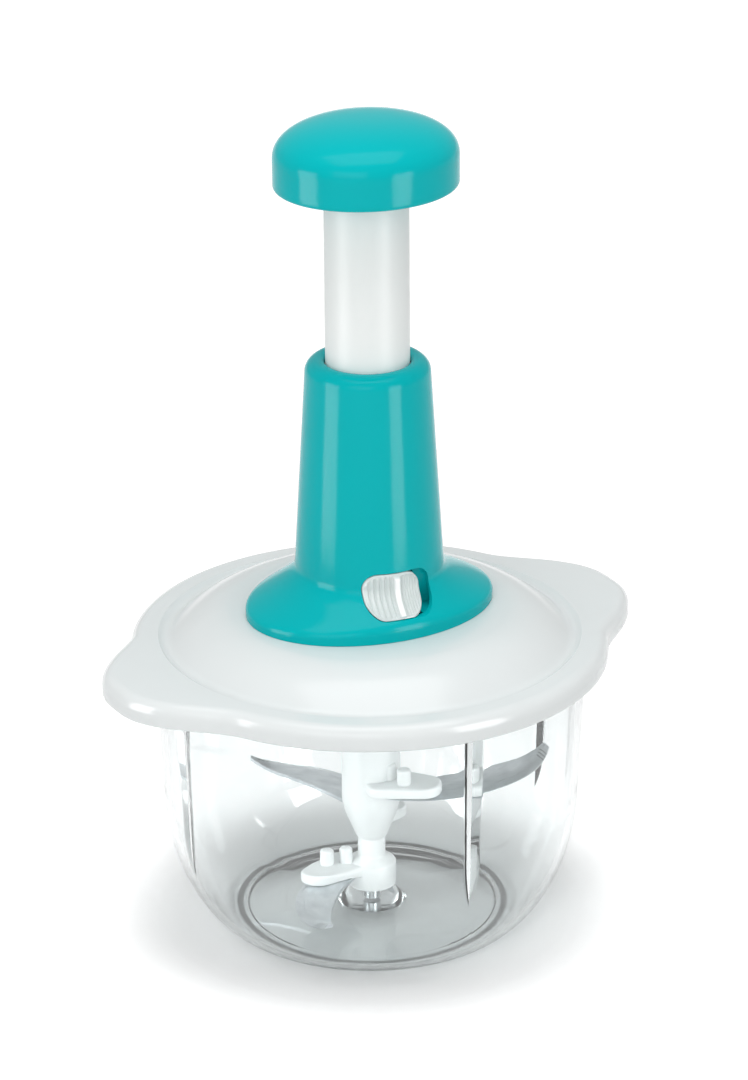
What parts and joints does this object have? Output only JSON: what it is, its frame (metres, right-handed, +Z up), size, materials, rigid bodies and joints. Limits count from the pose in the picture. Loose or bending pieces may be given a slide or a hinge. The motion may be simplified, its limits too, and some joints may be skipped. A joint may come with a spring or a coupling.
{
  "type": "plunger food chopper",
  "caption": "Hand-pressed food chopper: clear bowl, eared lid, tower with a sprung palm knob, sliding lock and curved blades on an upright shaft.",
  "frame": {"origin": "centre of the bowl's base, where it stands on the table", "axes": "+Z up along the plunger and blade shaft; +X towards one ear of the lid; -Y towards the lock button"},
  "size_m": [0.188, 0.1574, 0.278],
  "materials": {
    "clear_bowl": "clear moulded plastic, polished inside and out",
    "white_lid": "glossy white moulding",
    "teal_shell": "glossy teal moulding",
    "white_tube": "white moulding, slightly translucent",
    "white_shaft": "white moulding with a fine satin surface",
    "slide_plastic": "slippery ivory moulding",
    "blade_steel": "stainless strip with a ground edge",
    "zinc_steel": "zinc plated steel",
    "spring_steel": "drawn spring wire",
    "bush_bronze": "sintered bearing metal"
  },
  "bodies": {
    "bowl_unit": {"bowl": "clear_bowl", "pivot_pin": "zinc_steel"},
    "lid_unit": {"lid": "white_lid", "inner_cover": "white_lid", "cover_screws": "zinc_steel", "tower_housing": "teal_shell", "tower_screws": "zinc_steel", "guide_bush": "slide_plastic", "hub_bush": "slide_plastic", "thrust_washer": "zinc_steel", "spring_seat": "zinc_steel", "return_spring": "spring_steel", "clutch_spring": "spring_steel", "detent_spring": "spring_steel"},
    "plunger": {"knob_cap": "teal_shell", "knob_base": "teal_shell", "knob_screw": "zinc_steel", "plunger_tube": "white_tube", "drive_nut": "slide_plastic"},
    "lock_slider": {"lock_button": "white_shaft", "lock_plate": "slide_plastic", "lock_screw": "zinc_steel"},
    "drive": {"drive_strip": "zinc_steel", "drive_hub": "slide_plastic", "hub_clip": "spring_steel", "strip_pin": "zinc_steel", "drive_coupler": "slide_plastic"},
    "blade_set": {"blade_shaft": "white_shaft", "blade_upper": "blade_steel", "blade_middle": "blade_steel", "blade_lower": "blade_steel", "blade_rivets": "white_shaft", "shaft_bush": "bush_bronze"}
  },
  "joints": [
    {"name": "lid_lift", "type": "slide", "parent": "bowl_unit", "child": "lid_unit", "axis": [0, 0, 1], "range_m": [0, 0.06]},
    {"name": "knob_press", "type": "slide", "parent": "lid_unit", "child": "plunger", "axis": [0, 0, -1], "range_m": [0, 0.058], "stiffness_N_per_m": 150, "springref_m": -0.012, "deforming": ["return_spring"]},
    {"name": "lock_slide", "type": "slide", "parent": "lid_unit", "child": "lock_slider", "axis": [0.9945, -0.1045, 0], "range_m": [0, 0.004]},
    {"name": "drive_turn", "type": "hinge", "parent": "lid_unit", "child": "drive", "pos_m": [0, 0, 0.105], "axis": [0, 0, 1], "range_deg": [-522, 0]},
    {"name": "blade_turn", "type": "hinge", "parent": "bowl_unit", "child": "blade_set", "pos_m": [0, 0, 0.016], "axis": [0, 0, 1], "range_deg": [-522, 0]}
  ],
  "couplings": [
    {"joint": "drive_turn", "follows": "knob_press", "rad_per_m": -157.08},
    {"joint": "blade_turn", "follows": "knob_press", "rad_per_m": -157.08}
  ]
}
